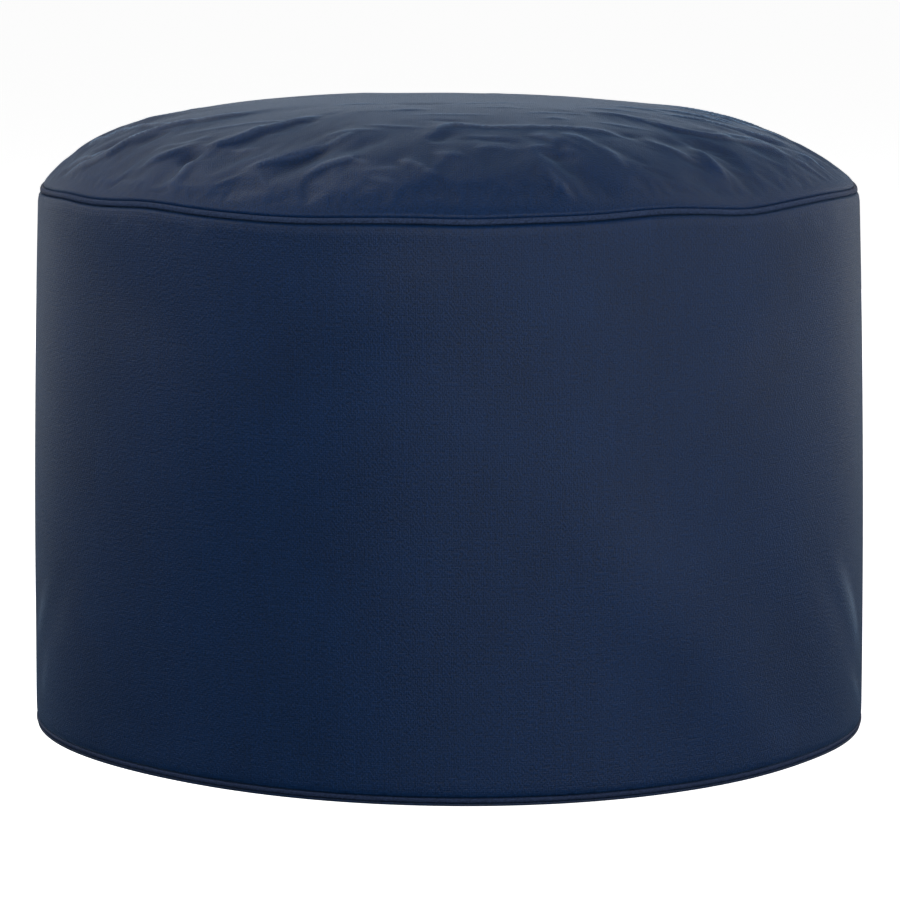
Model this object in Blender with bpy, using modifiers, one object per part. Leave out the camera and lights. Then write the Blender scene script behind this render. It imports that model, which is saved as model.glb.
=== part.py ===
"""Round pouf: a drum-shaped cushion in a sewn cloth cover.

Five sewn pieces: a crowned top with its slack folds, the side band, the base,
and a piping cord in the top seam and in the bottom seam. Metres, +Z up, with
the origin on the floor under the middle. The front is towards -Y.
"""

import math
from collections import namedtuple

import bpy
import numpy as np

MM = 0.001

# Driving dimensions
BASE_RADIUS = 251.6 * MM
WALL_FOOT_RADIUS = 252.2 * MM
WALL_MIDDLE_RADIUS = 251.0 * MM
WALL_TOP_RADIUS = 247.0 * MM
SEAM_RADIUS = 244.0 * MM
SEAM_HEIGHT = 325.6 * MM
CROWN_HEIGHT = 48.8 * MM
BASE_THICKNESS = 1.5 * MM
PIECE_GAP = 0.3 * MM
BASE_EDGE_ROLL = 0.45 * MM

# The wall's rolled ends: how far in or out of its end radius, and how far from the seam
SHOULDER_ROLL = ((2.4 * MM, 2.9 * MM), (0.8 * MM, 5.0 * MM), (0.0, 9.0 * MM))
FOOT_ROLL = ((0.0, 12.0 * MM), (0.1 * MM, 8.0 * MM), (0.4 * MM, 5.9 * MM))
WALL_STEPS = 6

# Piping cords
TOP_CORD_RADIUS = 1.6 * MM
BOTTOM_CORD_RADIUS = 1.4 * MM
BOTTOM_CORD_CENTRE = 250.9 * MM
BOTTOM_CORD_HEIGHT = BASE_THICKNESS + PIECE_GAP + BOTTOM_CORD_RADIUS
CORD_SIDES = 6
CORD_SEAT_RADIUS = TOP_CORD_RADIUS + PIECE_GAP
FOOT_SEAT_RADIUS = BOTTOM_CORD_RADIUS + PIECE_GAP

# Crown outline: its height is (1 - share ** power) ** fullness of the full height, where share
# is the distance from the axis over the seam radius, and it is fuller towards one side
CROWN_POWER = 3.4
CROWN_FULLNESS = 0.75
FULLNESS_SWING = 0.06
FULLEST_ANGLE = 205.0
CROWN_LEAN = 1.8 * MM
RING_SHARES = (0.12, 0.24, 0.35, 0.45, 0.54, 0.62, 0.69, 0.75, 0.80, 0.845, 0.885, 0.92, 0.95, 0.972, 0.987)
SEAM_FADE = 0.035

TURN_STEPS = 120
FOLD_PATH_STEPS = 10
FOLD_END_SHARE = 0.3
FOLD_END_HEIGHT = 0.25
SEAM_RISE_POWER = 6
SEAM_PLAN_SHARE = 0.5
DENT_MARGIN = 0.1 * SEAM_HEIGHT
MERGE_DISTANCE = 0.00002
SHARP_ANGLE = math.radians(50)

# How far the plan stands out from round at the floor, and half of it at the seam
Bump = namedtuple("Bump", "angle size spread")
PLAN_BUMPS = (
    Bump(angle=226, size=-8.0 * MM, spread=27),
    Bump(angle=286, size=3.2 * MM, spread=22),
    Bump(angle=326, size=-1.8 * MM, spread=12),
    Bump(angle=128, size=2.4 * MM, spread=24),
    Bump(angle=52, size=-4.0 * MM, spread=24),
)

# How far the top seam rises or sags
SEAM_BUMPS = (
    Bump(angle=204, size=0.9 * MM, spread=6),
    Bump(angle=225, size=2.1 * MM, spread=8),
    Bump(angle=249, size=-1.5 * MM, spread=10),
    Bump(angle=273, size=-0.9 * MM, spread=7),
    Bump(angle=299, size=2.2 * MM, spread=8),
    Bump(angle=314, size=-1.3 * MM, spread=6),
    Bump(angle=333, size=1.4 * MM, spread=10),
    Bump(angle=22, size=1.0 * MM, spread=9),
    Bump(angle=55, size=-1.3 * MM, spread=10),
    Bump(angle=90, size=1.5 * MM, spread=11),
    Bump(angle=127, size=1.3 * MM, spread=9),
    Bump(angle=160, size=-1.2 * MM, spread=8),
    Bump(angle=184, size=-1.4 * MM, spread=8),
    Bump(angle=356, size=-1.5 * MM, spread=7),
)

# Shallow dents (minus) and swells of the wall, round the drum and up it
Dent = namedtuple("Dent", "angle height spread reach slant size")
WALL_DENTS = (
    Dent(angle=346, height=0.088, spread=4, reach=0.036, slant=-1.1, size=1.8 * MM),
    Dent(angle=339, height=0.086, spread=5, reach=0.040, slant=-1.1, size=-2.2 * MM),
    Dent(angle=346, height=0.040, spread=4, reach=0.020, slant=-1.1, size=1.2 * MM),
    Dent(angle=196, height=0.075, spread=4, reach=0.034, slant=0.7, size=1.8 * MM),
    Dent(angle=203, height=0.078, spread=5, reach=0.036, slant=0.7, size=-2.0 * MM),
    Dent(angle=302, height=0.135, spread=9, reach=0.060, slant=-0.6, size=2.0 * MM),
    Dent(angle=246, height=0.120, spread=14, reach=0.080, slant=0.3, size=-1.8 * MM),
    Dent(angle=318, height=0.265, spread=9, reach=0.035, slant=0.6, size=-1.6 * MM),
    Dent(angle=222, height=0.272, spread=9, reach=0.030, slant=-0.8, size=-1.4 * MM),
    Dent(angle=262, height=0.280, spread=8, reach=0.028, slant=0.5, size=1.2 * MM),
    Dent(angle=28, height=0.110, spread=6, reach=0.050, slant=1.0, size=-2.2 * MM),
    Dent(angle=66, height=0.230, spread=12, reach=0.060, slant=-0.5, size=-1.8 * MM),
    Dent(angle=104, height=0.120, spread=12, reach=0.070, slant=0.4, size=1.8 * MM),
    Dent(angle=143, height=0.250, spread=9, reach=0.050, slant=0.7, size=-2.0 * MM),
    Dent(angle=166, height=0.130, spread=7, reach=0.050, slant=-0.9, size=-1.8 * MM),
)

# Folds of the top: three points of each, from its outer end, as an angle and a share of the
# seam's radius, then half its width, its height, and which flank is the steeper one
Fold = namedtuple("Fold", "angle_1 share_1 angle_2 share_2 angle_3 share_3 width height lean")
FOLDS = (
    # Left front, where the slack gathers into long crests
    Fold(217, 0.93, 221, 0.86, 225, 0.77, 13 * MM, 4.6 * MM, 0.4),
    Fold(225, 0.82, 231, 0.70, 234, 0.48, 12 * MM, 5.0 * MM, 0.4),
    Fold(197, 0.98, 204, 0.88, 204, 0.72, 10 * MM, 4.6 * MM, 0.3),
    Fold(204, 0.76, 206, 0.63, 212, 0.46, 11 * MM, 4.2 * MM, 0.2),
    Fold(194, 0.97, 197, 0.92, 204, 0.87, 8 * MM, 3.0 * MM, 0.2),
    Fold(186, 0.95, 190, 0.84, 200, 0.68, 10 * MM, 4.8 * MM, 0.3),
    Fold(198, 0.93, 199, 0.84, 197, 0.75, 9 * MM, -3.6 * MM, 0.0),
    Fold(177, 0.90, 182, 0.81, 187, 0.73, 9 * MM, -3.2 * MM, 0.0),
    Fold(171, 0.95, 176, 0.82, 184, 0.60, 11 * MM, 4.2 * MM, 0.2),
    Fold(227, 0.97, 226, 0.89, 223, 0.82, 12 * MM, -4.4 * MM, 0.2),
    Fold(229, 0.98, 228, 0.91, 227, 0.83, 8 * MM, 2.6 * MM, 0.0),
    # Front
    Fold(233, 0.88, 243, 0.82, 252, 0.71, 12 * MM, 3.8 * MM, 0.4),
    Fold(244, 0.90, 247, 0.82, 251, 0.73, 9 * MM, -3.6 * MM, 0.0),
    Fold(247, 0.91, 255, 0.83, 264, 0.83, 9 * MM, 3.2 * MM, 0.3),
    Fold(262, 0.82, 266, 0.86, 270, 0.90, 8 * MM, 2.6 * MM, -0.2),
    Fold(245, 0.71, 251, 0.66, 259, 0.65, 8 * MM, 3.0 * MM, 0.3),
    Fold(266, 0.72, 269, 0.63, 281, 0.60, 9 * MM, 4.2 * MM, 0.4),
    Fold(265, 0.73, 271, 0.71, 277, 0.71, 9 * MM, -3.2 * MM, 0.0),
    Fold(267, 0.80, 273, 0.80, 278, 0.75, 8 * MM, 2.6 * MM, 0.2),
    Fold(277, 0.60, 294, 0.64, 307, 0.76, 9 * MM, 3.6 * MM, 0.3),
    Fold(277, 0.70, 281, 0.73, 285, 0.76, 8 * MM, -2.4 * MM, 0.0),
    # Right front, with the two pleats that run down to the seam
    Fold(285, 0.67, 290, 0.72, 294, 0.83, 8 * MM, 3.4 * MM, 0.2),
    Fold(284, 0.76, 286, 0.87, 289, 0.97, 9 * MM, 4.8 * MM, -0.4),
    Fold(287, 0.77, 289, 0.86, 292, 0.96, 10 * MM, -4.6 * MM, 0.0),
    Fold(290, 0.69, 295, 0.76, 299, 0.92, 9 * MM, 3.8 * MM, -0.2),
    Fold(307, 0.73, 310, 0.79, 314, 0.88, 8 * MM, 2.8 * MM, -0.2),
    Fold(318, 0.73, 316, 0.84, 315, 0.96, 10 * MM, 5.6 * MM, -0.4),
    Fold(320, 0.73, 321, 0.79, 318, 0.92, 11 * MM, -5.0 * MM, 0.0),
    Fold(302, 0.34, 317, 0.50, 327, 0.70, 13 * MM, 4.4 * MM, 0.3),
    Fold(325, 0.67, 332, 0.76, 342, 0.85, 11 * MM, 4.2 * MM, 0.3),
    Fold(332, 0.81, 336, 0.88, 338, 0.96, 8 * MM, 2.8 * MM, 0.2),
    Fold(349, 0.84, 345, 0.91, 351, 0.98, 8 * MM, 3.2 * MM, 0.2),
    Fold(334, 0.66, 341, 0.75, 351, 0.84, 8 * MM, 3.0 * MM, 0.2),
    Fold(337, 0.71, 345, 0.79, 353, 0.87, 8 * MM, -2.8 * MM, 0.0),
    # Across the middle
    Fold(234, 0.50, 248, 0.40, 264, 0.30, 12 * MM, 3.4 * MM, 0.2),
    Fold(260, 0.32, 284, 0.23, 306, 0.38, 12 * MM, 3.2 * MM, 0.2),
    Fold(224, 0.32, 250, 0.14, 318, 0.22, 13 * MM, -2.4 * MM, 0.0),
    Fold(160, 0.50, 140, 0.28, 80, 0.22, 13 * MM, 2.8 * MM, 0.2),
    # Back, where near-parallel pleats run out to the seam
    Fold(3, 0.98, 1, 0.86, 354, 0.66, 8 * MM, 2.6 * MM, 0.2),
    Fold(13, 0.98, 12, 0.87, 9, 0.72, 8 * MM, 2.2 * MM, -0.2),
    Fold(24, 0.98, 22, 0.85, 25, 0.68, 8 * MM, 2.6 * MM, 0.2),
    Fold(36, 0.97, 39, 0.86, 37, 0.73, 8 * MM, 2.4 * MM, 0.2),
    Fold(50, 0.98, 47, 0.87, 51, 0.69, 9 * MM, 3.0 * MM, -0.3),
    Fold(64, 0.97, 66, 0.86, 61, 0.74, 8 * MM, 2.8 * MM, 0.2),
    Fold(79, 0.98, 75, 0.88, 80, 0.73, 9 * MM, 3.4 * MM, 0.3),
    Fold(93, 0.96, 96, 0.85, 90, 0.68, 10 * MM, 2.8 * MM, -0.2),
    Fold(107, 0.98, 105, 0.88, 110, 0.75, 8 * MM, 3.6 * MM, 0.2),
    Fold(121, 0.97, 124, 0.85, 119, 0.66, 10 * MM, 3.2 * MM, 0.3),
    Fold(136, 0.98, 134, 0.88, 139, 0.74, 8 * MM, 3.0 * MM, -0.2),
    Fold(150, 0.97, 153, 0.85, 148, 0.68, 9 * MM, 3.6 * MM, 0.2),
    Fold(162, 0.98, 160, 0.89, 165, 0.76, 8 * MM, 2.8 * MM, 0.2),
    Fold(30, 0.44, 58, 0.38, 84, 0.42, 11 * MM, 1.6 * MM, 0.3),
    Fold(112, 0.44, 132, 0.40, 150, 0.48, 11 * MM, 1.6 * MM, 0.3),
)


def clear_scene():
    for item in list(bpy.data.objects):
        bpy.data.objects.remove(item, do_unlink=True)


def smooth_step(value):
    share = np.clip(value, 0.0, 1.0)
    return share * share * (3.0 - 2.0 * share)


def turn_between(angle, centre):
    """Degrees from centre to angle, the short way round."""
    return (angle - centre + 180.0) % 360.0 - 180.0


def sum_of_bumps(bumps, angle):
    total = np.zeros_like(angle)
    for bump in bumps:
        total += bump.size * np.exp(-(turn_between(angle, bump.angle) / bump.spread) ** 2)
    return total


def crown_height(share, angle):
    """Height of the unfolded top over the seam, a little fuller on the left."""
    towards = np.cos(np.radians(angle - FULLEST_ANGLE))
    inside = np.clip(1.0 - share ** CROWN_POWER, 0.0, 1.0)
    lean = CROWN_LEAN * towards * share * inside
    return CROWN_HEIGHT * inside ** (CROWN_FULLNESS - FULLNESS_SWING * towards) + lean


def fold_path(fold):
    """Points along a smooth curve through the fold's three points, in plan."""
    angles = np.radians([fold.angle_1, fold.angle_2, fold.angle_3])
    radii = SEAM_RADIUS * np.array([fold.share_1, fold.share_2, fold.share_3])
    start, middle, end = np.stack([radii * np.cos(angles), radii * np.sin(angles)], axis=1)
    pull = 2.0 * middle - 0.5 * (start + end)
    step = np.linspace(0.0, 1.0, FOLD_PATH_STEPS + 1)[:, None]
    return (1 - step) ** 2 * start + 2 * step * (1 - step) * pull + step ** 2 * end


def fold_relief(plan):
    """Height that all the folds add at each point of the plan."""
    relief = np.zeros(len(plan))
    for fold in FOLDS:
        path = fold_path(fold)
        nearest = np.full(len(plan), np.inf)
        offset = np.zeros(len(plan))
        travel = np.zeros(len(plan))
        for step in range(FOLD_PATH_STEPS):
            start = path[step]
            run = path[step + 1] - start
            length = math.hypot(run[0], run[1])
            along = np.clip((plan - start) @ run / length ** 2, 0.0, 1.0)
            away = plan - start - along[:, None] * run
            distance = np.hypot(away[:, 0], away[:, 1])
            side = np.sign(run[0] * away[:, 1] - run[1] * away[:, 0])
            closer = distance < nearest
            nearest = np.where(closer, distance, nearest)
            offset = np.where(closer, side, offset)
            travel = np.where(closer, (step + along) / FOLD_PATH_STEPS, travel)
        width = fold.width * (1.0 + fold.lean * offset)
        ends = smooth_step(travel / FOLD_END_SHARE) * smooth_step((1.0 - travel) / FOLD_END_SHARE)
        height = fold.height * (FOLD_END_HEIGHT + (1.0 - FOLD_END_HEIGHT) * ends)
        relief += height * np.exp(-(nearest / width) ** 2)
    return relief


def wall_relief(angle, height):
    relief = np.zeros_like(angle)
    for dent in WALL_DENTS:
        rise = height - dent.height
        turn = turn_between(angle, dent.angle + np.degrees(dent.slant * rise / WALL_MIDDLE_RADIUS))
        relief += dent.size * np.exp(-(turn / dent.spread) ** 2 - (rise / dent.reach) ** 2)
    return relief


def slump(points):
    """Take points of the true round form to the form that stands on the floor."""
    radius = np.hypot(points[:, 0], points[:, 1])
    angle = np.degrees(np.arctan2(points[:, 1], points[:, 0]))
    lift = np.clip(points[:, 2] / SEAM_HEIGHT, 0.0, 1.0)
    spread = 1.0 - (1.0 - SEAM_PLAN_SHARE) * lift
    out = sum_of_bumps(PLAN_BUMPS, angle) * spread * radius / BASE_RADIUS
    rise = sum_of_bumps(SEAM_BUMPS, angle) * lift ** SEAM_RISE_POWER * (radius / SEAM_RADIUS) ** 2
    scale = np.ones_like(radius)
    np.divide(radius + out, radius, out=scale, where=radius > MERGE_DISTANCE)
    return np.stack([points[:, 0] * scale, points[:, 1] * scale, points[:, 2] + rise], axis=1)


def fold_top(points):
    """Raise the top's upper face to its uneven crown and its folds."""
    radius = np.hypot(points[:, 0], points[:, 1])
    angle = np.degrees(np.arctan2(points[:, 1], points[:, 0]))
    share = radius / SEAM_RADIUS
    upper = points[:, 2] > SEAM_HEIGHT + TOP_CORD_RADIUS
    fade = smooth_step((1.0 - share) / SEAM_FADE)
    relief = fold_relief(points[:, :2]) * fade
    inside = np.maximum(1.0 - share ** CROWN_POWER, SEAM_FADE)
    slope = CROWN_FULLNESS * CROWN_POWER * share ** (CROWN_POWER - 1.0) * inside ** (CROWN_FULLNESS - 1.0)
    tilt = np.arctan(slope * CROWN_HEIGHT / SEAM_RADIUS)
    crown = SEAM_HEIGHT + crown_height(share, angle)
    height = points[:, 2] + fade * (crown - points[:, 2]) + relief * np.cos(tilt)
    reach = 1.0 + relief * np.sin(tilt) / np.maximum(radius, SEAM_FADE)
    folded = np.stack([points[:, 0] * reach, points[:, 1] * reach, height], axis=1)
    return np.where(upper[:, None], folded, points)


def dent_wall(points):
    """Press the shallow dents into the wall's outer face, fading out at both seams."""
    radius = np.hypot(points[:, 0], points[:, 1])
    angle = np.degrees(np.arctan2(points[:, 1], points[:, 0]))
    height = points[:, 2]
    fade = smooth_step(height / DENT_MARGIN) * smooth_step((SEAM_HEIGHT - height) / DENT_MARGIN)
    outer = radius > SEAM_RADIUS
    out = np.where(outer, wall_relief(angle, height) * fade, 0.0)
    scale = 1.0 + out / np.maximum(radius, SEAM_RADIUS)
    return np.stack([points[:, 0] * scale, points[:, 1] * scale, height], axis=1)


def cloth_material(name, colour, roughness):
    material = bpy.data.materials.new(name)
    material.use_nodes = True
    shader = material.node_tree.nodes["Principled BSDF"]
    shader.inputs["Base Color"].default_value = (*colour, 1.0)
    shader.inputs["Roughness"].default_value = roughness
    shader.inputs["Metallic"].default_value = 0.0
    return material


def turned_piece(name, profile, closed, collection, material, origin, rules):
    """Turn a profile of (radius, height) points into one solid and shape its points."""
    outline = bpy.data.meshes.new(name + "_profile")
    edges = [(index, index + 1) for index in range(len(profile) - 1)]
    if closed:
        edges.append((len(profile) - 1, 0))
    outline.from_pydata([(radius, 0.0, height) for radius, height in profile], edges, [])
    turned = bpy.data.objects.new(name + "_turned", outline)
    collection.objects.link(turned)
    screw = turned.modifiers.new("Turn", "SCREW")
    screw.axis = "Z"
    screw.angle = math.tau
    screw.steps = TURN_STEPS
    screw.render_steps = TURN_STEPS
    screw.use_merge_vertices = True
    screw.merge_threshold = MERGE_DISTANCE
    evaluated = turned.evaluated_get(bpy.context.evaluated_depsgraph_get())
    mesh = bpy.data.meshes.new_from_object(evaluated)
    mesh.name = name
    bpy.data.objects.remove(turned, do_unlink=True)
    bpy.data.meshes.remove(outline)

    points = np.empty(len(mesh.vertices) * 3)
    mesh.vertices.foreach_get("co", points)
    points = points.reshape(-1, 3)
    for rule in rules:
        points = rule(points)
    mesh.vertices.foreach_set("co", points.ravel())
    mesh.shade_smooth()
    mesh.set_sharp_from_angle(angle=SHARP_ANGLE)
    mesh.materials.append(material)

    piece = bpy.data.objects.new(name, mesh)
    piece.parent = origin
    collection.objects.link(piece)
    return piece


def arc(centre, radius, start, end, steps):
    """Points along an arc in the profile plane, angles in degrees from straight out."""
    turns = [math.radians(start + (end - start) * step / steps) for step in range(steps + 1)]
    return [(centre[0] + radius * math.cos(turn), centre[1] + radius * math.sin(turn)) for turn in turns]


def top_profile():
    """From the pole over the crown to the cord, and back under to the axis."""
    crown = [(0.0, SEAM_HEIGHT + CROWN_HEIGHT)]
    for share in RING_SHARES:
        inside = (1.0 - share ** CROWN_POWER) ** CROWN_FULLNESS
        crown.append((share * SEAM_RADIUS, SEAM_HEIGHT + CROWN_HEIGHT * inside))
    seat = arc((SEAM_RADIUS, SEAM_HEIGHT), CORD_SEAT_RADIUS, 122, 172, 2)
    return crown + seat + [(0.0, SEAM_HEIGHT + 0.5 * PIECE_GAP)]


def wall_points():
    """The wall's outer face from its shoulder down to its foot, swelling a little on the way."""
    top = SEAM_HEIGHT - SHOULDER_ROLL[-1][1]
    foot = FOOT_ROLL[0][1]
    mean_radius = 0.5 * (WALL_TOP_RADIUS + WALL_FOOT_RADIUS)
    points = []
    for step in range(1, WALL_STEPS):
        share = step / WALL_STEPS
        straight = WALL_TOP_RADIUS + share * (WALL_FOOT_RADIUS - WALL_TOP_RADIUS)
        swell = 4.0 * share * (1.0 - share) * (WALL_MIDDLE_RADIUS - mean_radius)
        points.append((straight + swell, top + share * (foot - top)))
    return points


def side_profile():
    """From the axis out under the top, round the top cord, down the wall and back under."""
    top_seat = arc((SEAM_RADIUS, SEAM_HEIGHT), CORD_SEAT_RADIUS, 188, 280, 3)
    shoulder = [(WALL_TOP_RADIUS - inset, SEAM_HEIGHT - drop) for inset, drop in SHOULDER_ROLL]
    foot = [(WALL_FOOT_RADIUS - inset, height) for inset, height in FOOT_ROLL]
    foot_seat = arc((BOTTOM_CORD_CENTRE, BOTTOM_CORD_HEIGHT), FOOT_SEAT_RADIUS, 70, 200, 4)
    under = BASE_THICKNESS + PIECE_GAP
    inner = BOTTOM_CORD_CENTRE - 2.0 * BOTTOM_CORD_RADIUS
    start = [(0.0, SEAM_HEIGHT - 0.5 * PIECE_GAP)]
    return start + top_seat + shoulder + wall_points() + foot + foot_seat + [(inner, under), (0.0, under)]


def base_profile():
    return [
        (0.0, BASE_THICKNESS),
        (BASE_RADIUS - BASE_EDGE_ROLL, BASE_THICKNESS),
        (BASE_RADIUS, BASE_THICKNESS - BASE_EDGE_ROLL),
        (BASE_RADIUS, BASE_EDGE_ROLL),
        (BASE_RADIUS - BASE_EDGE_ROLL, 0.0),
        (0.0, 0.0),
    ]


def cord_profile(centre_radius, centre_height, cord_radius):
    """A round cord's section, run down its outer side."""
    start = 90.0 - 180.0 / CORD_SIDES
    section = arc((centre_radius, centre_height), cord_radius, start, start - 360.0, CORD_SIDES)
    return section[:-1]


def build_pouf():
    clear_scene()
    collection = bpy.data.collections.new("pouf")
    bpy.context.scene.collection.children.link(collection)
    origin = bpy.data.objects.new("pouf_origin", None)
    collection.objects.link(origin)

    navy = (0.0130, 0.0270, 0.0630)
    deep_navy = (0.0100, 0.0220, 0.0540)
    turned_piece(
        "top_panel", top_profile(), False, collection,
        cloth_material("top_cloth", navy, 0.62), origin, (fold_top, slump),
    )
    turned_piece(
        "side_panel", side_profile(), False, collection,
        cloth_material("side_cloth", navy, 0.62), origin, (dent_wall, slump),
    )
    turned_piece(
        "base_panel", base_profile(), False, collection,
        cloth_material("base_cloth", deep_navy, 0.70), origin, (slump,),
    )
    turned_piece(
        "top_piping", cord_profile(SEAM_RADIUS, SEAM_HEIGHT, TOP_CORD_RADIUS), True, collection,
        cloth_material("top_cord_cloth", navy, 0.58), origin, (slump,),
    )
    turned_piece(
        "bottom_piping", cord_profile(BOTTOM_CORD_CENTRE, BOTTOM_CORD_HEIGHT, BOTTOM_CORD_RADIUS), True,
        collection, cloth_material("bottom_cord_cloth", navy, 0.58), origin, (slump,),
    )


build_pouf()
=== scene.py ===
"""The looks of a round pouf: a drum-shaped cushion in a sewn cover of woven polyester.

Five sewn pieces stand for the five solids of the frame: the crowned top with its slack folds,
the side band, the base and the two piping cords. Metres, +Z up, the front towards -Y.
"""

import math
from collections import namedtuple

import bmesh
import bpy
import numpy as np
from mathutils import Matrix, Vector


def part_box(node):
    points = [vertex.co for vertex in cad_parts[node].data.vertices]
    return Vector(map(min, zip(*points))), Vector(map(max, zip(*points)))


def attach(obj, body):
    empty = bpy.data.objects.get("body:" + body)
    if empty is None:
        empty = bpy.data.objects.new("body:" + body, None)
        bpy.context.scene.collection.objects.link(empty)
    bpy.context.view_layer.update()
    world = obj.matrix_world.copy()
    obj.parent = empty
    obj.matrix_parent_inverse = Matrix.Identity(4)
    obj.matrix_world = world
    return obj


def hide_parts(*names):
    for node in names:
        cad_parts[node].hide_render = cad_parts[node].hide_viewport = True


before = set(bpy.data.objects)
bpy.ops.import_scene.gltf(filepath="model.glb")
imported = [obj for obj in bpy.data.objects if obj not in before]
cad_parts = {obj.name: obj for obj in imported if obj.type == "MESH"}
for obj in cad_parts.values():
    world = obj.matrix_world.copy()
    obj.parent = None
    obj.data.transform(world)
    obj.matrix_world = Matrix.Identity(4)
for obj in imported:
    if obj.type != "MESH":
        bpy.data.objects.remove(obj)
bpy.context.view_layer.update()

bl_info = {
    "name": "Round pouf",
    "version": (1, 0, 0),
    "blender": (4, 5, 0),
    "location": "3D View > Sidebar > Pouf",
    "description": "Builds the sewn pieces of a round pouf and a pale studio round it",
    "category": "Add Mesh",
}

MM = 0.001
BODY = "root"

# The round form before it slumps, as the solids have it; the crown is as high as their folds reach
BASE_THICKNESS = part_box("base_panel")[1].z
BASE_RADIUS = 251.6 * MM
WALL_FOOT_RADIUS = 252.2 * MM
WALL_MIDDLE_RADIUS = 251.0 * MM
WALL_TOP_RADIUS = 247.0 * MM
SEAM_RADIUS = 244.0 * MM
SEAM_HEIGHT = 325.6 * MM
CROWN_HEIGHT = 51.0 * MM
PIECE_GAP = 0.3 * MM
BASE_EDGE_ROLL = 0.45 * MM
TOP_CORD_RADIUS = 1.6 * MM
BOTTOM_CORD_RADIUS = 1.4 * MM
BOTTOM_CORD_CENTRE = 250.9 * MM
BOTTOM_CORD_HEIGHT = BASE_THICKNESS + PIECE_GAP + BOTTOM_CORD_RADIUS
CORD_SEAT_RADIUS = TOP_CORD_RADIUS + PIECE_GAP
FOOT_SEAT_RADIUS = BOTTOM_CORD_RADIUS + PIECE_GAP

# Arcs of cloth round the cords: from and to, in degrees from straight out, and how many steps
CROWN_SEAT_ARC = (122, 172, 3)
SHOULDER_SEAT_ARC = (188, 280, 5)
FOOT_SEAT_ARC = (70, 200, 6)

# The wall's rolled ends: how far in, and how far below the top seam or above the floor
SHOULDER_ROLL = MM * np.array([(1.9, 2.2), (1.1, 2.6), (0.5, 3.6), (0.0, 7.0)])
FOOT_ROLL = MM * np.array([(0.0, 12.0), (0.1, 8.0), (0.4, 5.9)])

# Crown outline: (1 - share ** power) ** fullness of its height, fuller on one side
CROWN_POWER = 3.4
CROWN_FULLNESS = 0.75
FULLNESS_SWING = 0.06
FULLEST_ANGLE = 205.0
CROWN_LEAN = 1.8 * MM
SEAM_FADE = 0.035
SEAM_RISE_POWER = 6
SEAM_PLAN_SHARE = 0.5
DENT_MARGIN = 0.1 * SEAM_HEIGHT
MERGE_DISTANCE = 0.00001

# How far the top swells out over its piping, and over what height that starts and ends
RIM_SWELL = 1.4 * MM
RIM_FOOT = 2.0 * MM
RIM_RUN = 12 * MM

# How fine the pieces are
CROWN_RINGS = 67
RIM_ROWS = 6
RIM_REACH = 8 * MM
PROFILE_STEPS = 400
BASE_RINGS = 64
CORD_TURN_STEPS = 2400
CORD_SIDES = 20
WALL_TURN_STEPS = 720
WALL_MIDDLE_ROWS = 56
WALL_END_ROWS = 18
WALL_END_REACH = 26 * MM
SHOULDER_ROWS = 8
FOOT_ROWS = 6

# Cords: how square their section is, and how unevenly their stitches pull
CORD_SQUARENESS = 3.4
CORD_STITCHES = 400
PULL_WAVES = ((0.3, 37, 0.0), (0.2, 23, 1.0))

# Section of a fold: how wide its tip is, and how fast and how far it falls, as shares of its
# width; then how finely its path is followed, and how its ends run out
CREST_TIP = 0.07
CREST_FALL = 0.5
CREST_END = 3.0
FOLD_REACH = 3.2
FOLD_PATH_STEPS = 14
FOLD_END_SHARE = 0.3
FOLD_END_HEIGHT = 0.2
CREASE_END_SHARE = 0.45

# Painted highlight line along a crease, where the cloth is paler and shinier: full on high ones, faint on
# wide ones
CREST_WIDTH = 1.9 * MM
FULL_CREST = 1.8 * MM
FULL_WALL_CREST = 1.3 * MM
SOFT_WIDTH = 8.5 * MM
SOFT_RUN = 2.5 * MM
SOFT_SHARE = 0.25

# The short simulation that crumples the slack top, pinned along its seam
SETTLE_FRAMES = 16
SETTLE_CAP = 7 * MM
SETTLE_RINGS = 24
PIN_START = 0.955
PIN_RUN = 0.03
CLOTH_MASS = 0.1
CLOTH_QUALITY = 6
CLOTH_STIFFNESS = 15
CLOTH_SHEAR = 0.4
CLOTH_BENDING = 0.5
CLOTH_DAMPING = 5

# What the painted highlight on the crests, the threads and the mottle add to the cloth's look
CREST_GLINT_COLOUR = "#B0BCC8"
SHEEN_COLOUR = "#AAD6FF"
CREST_SHEEN = 0.6
CREST_GLOSS = 0.4
CORD_GLOSS = 0.06
TONE_LEVEL = -0.44
ROUGHNESS_SWING = 0.15
GRAIN_RELIEF = 6.0
WEAVE_DEPTH = 0.13 * MM

# How far the plan stands out from round at the floor, and half of it at the seam: where round
# the pouf, how far in millimetres, and over how many degrees
Bump = namedtuple("Bump", "angle size spread")
PLAN_BUMPS = [Bump(*row) for row in (
    (226, -8.0, 27),
    (286, 3.2, 22),
    (326, -1.8, 12),
    (128, 2.4, 24),
    (52, -4.0, 24),
)]

# How far the top seam rises or sags, in the same units
SEAM_BUMPS = [Bump(*row) for row in (
    (204, 0.9, 6),
    (225, 2.1, 8),
    (249, -1.5, 10),
    (273, -0.9, 7),
    (299, 2.2, 8),
    (314, -1.3, 6),
    (333, 1.4, 10),
    (22, 1.0, 9),
    (55, -1.3, 10),
    (90, 1.5, 11),
    (127, 1.3, 9),
    (160, -1.2, 8),
    (184, -1.4, 8),
    (356, -1.5, 7),
)]

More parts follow.
